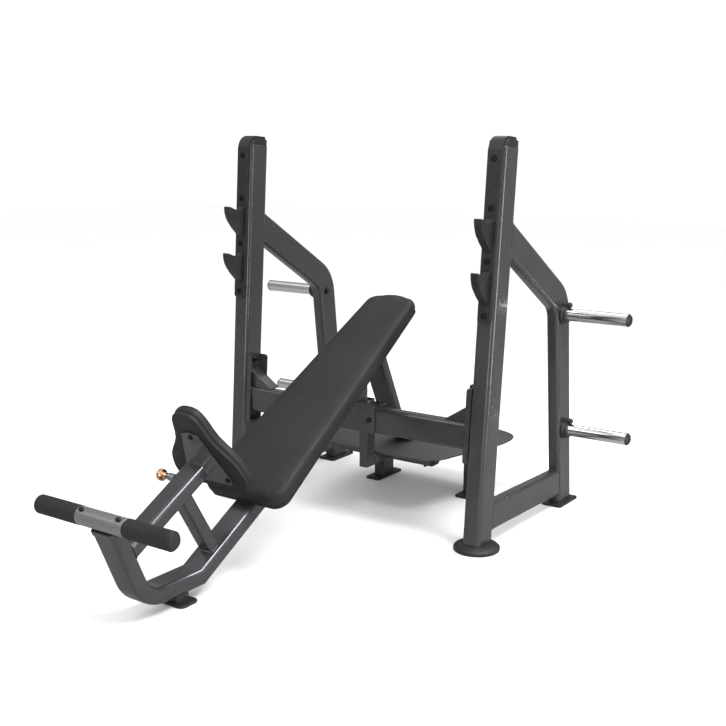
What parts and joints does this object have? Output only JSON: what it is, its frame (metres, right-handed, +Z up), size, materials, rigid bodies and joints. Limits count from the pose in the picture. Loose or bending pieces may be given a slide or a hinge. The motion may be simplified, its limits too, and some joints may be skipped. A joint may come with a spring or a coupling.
{
  "type": "adjustable weight bench",
  "caption": "Incline barbell bench with leaning uprights and bar catches, plate storage horns, a spotter platform, a roller foot rest and a seat that slides on a pinned post.",
  "frame": {"origin": "on the floor under the middle of the whole bench", "axes": "+Z up, +Y from the foot rest at the front to the spotter platform at the back, +X to one side"},
  "size_m": [1.824, 2.1258, 1.5295],
  "materials": {
    "frame_paint": "dark graphite metallic powder coat, satin",
    "pad_vinyl": "charcoal vinyl, fine grain, matt",
    "pad_board": "black backed board",
    "black_rubber": "matt black rubber",
    "black_plastic": "black moulded plastic, satin",
    "foot_plastic": "black moulded plastic",
    "chrome": "polished chrome",
    "copper_knob": "polished copper colour",
    "zinc_bolt": "dark zinc"
  },
  "bodies": {
    "frame": {"back_pad": "pad_vinyl", "back_pad_board": "pad_board", "base_tube": "frame_paint", "bench_spine": "frame_paint", "bracket_bolt_left": "zinc_bolt", "bracket_bolt_right": "zinc_bolt", "cap_left": "black_plastic", "cap_right": "black_plastic", "centre_bracket": "frame_paint", "collar_left_lower": "black_plastic", "collar_left_upper": "black_plastic", "collar_right_lower": "black_plastic", "collar_right_upper": "black_plastic", "cross_member": "frame_paint", "deck": "frame_paint", "deck_cross_bar": "frame_paint", "deck_foot_left": "foot_plastic", "deck_foot_right": "foot_plastic", "deck_leg_left": "frame_paint", "deck_leg_right": "frame_paint", "flange_bolt_left_lower": "zinc_bolt", "flange_bolt_left_upper": "zinc_bolt", "flange_bolt_right_lower": "zinc_bolt", "flange_bolt_right_upper": "zinc_bolt", "flange_left": "frame_paint", "flange_right": "frame_paint", "footrest_bar": "frame_paint", "footrest_bolt_left": "zinc_bolt", "footrest_bolt_right": "zinc_bolt", "front_foot": "foot_plastic", "grip_left": "black_rubber", "grip_right": "black_rubber", "guard_left": "black_plastic", "guard_right": "black_plastic", "hanger_post": "frame_paint", "horn_left_lower": "chrome", "horn_left_upper": "chrome", "horn_right_lower": "chrome", "horn_right_upper": "chrome", "pad_strut": "frame_paint", "pad_wedge": "frame_paint", "pin_housing": "zinc_bolt", "rail_left": "frame_paint", "rail_right": "frame_paint", "rear_leg_foot_left": "foot_plastic", "rear_leg_foot_right": "foot_plastic", "rear_leg_left": "frame_paint", "rear_leg_right": "frame_paint", "seat_strut": "frame_paint", "seat_tube": "frame_paint", "spine_end_cap": "black_plastic", "upright_foot_left": "foot_plastic", "upright_foot_right": "foot_plastic", "upright_left": "frame_paint", "upright_right": "frame_paint"},
    "seat": {"seat_post": "chrome", "seat_plate": "frame_paint", "seat_board": "pad_board", "seat_pad": "pad_vinyl"},
    "pin": {"pull_pin": "copper_knob"}
  },
  "joints": [
    {"name": "seat_slide", "type": "slide", "parent": "frame", "child": "seat", "axis": [0, 0.8788, 0.4772], "range_m": [0, 0.12]},
    {"name": "pin_pull", "type": "slide", "parent": "frame", "child": "pin", "axis": [-1, 0, 0], "range_m": [0, 0.012], "stiffness_N_per_m": 600}
  ]
}
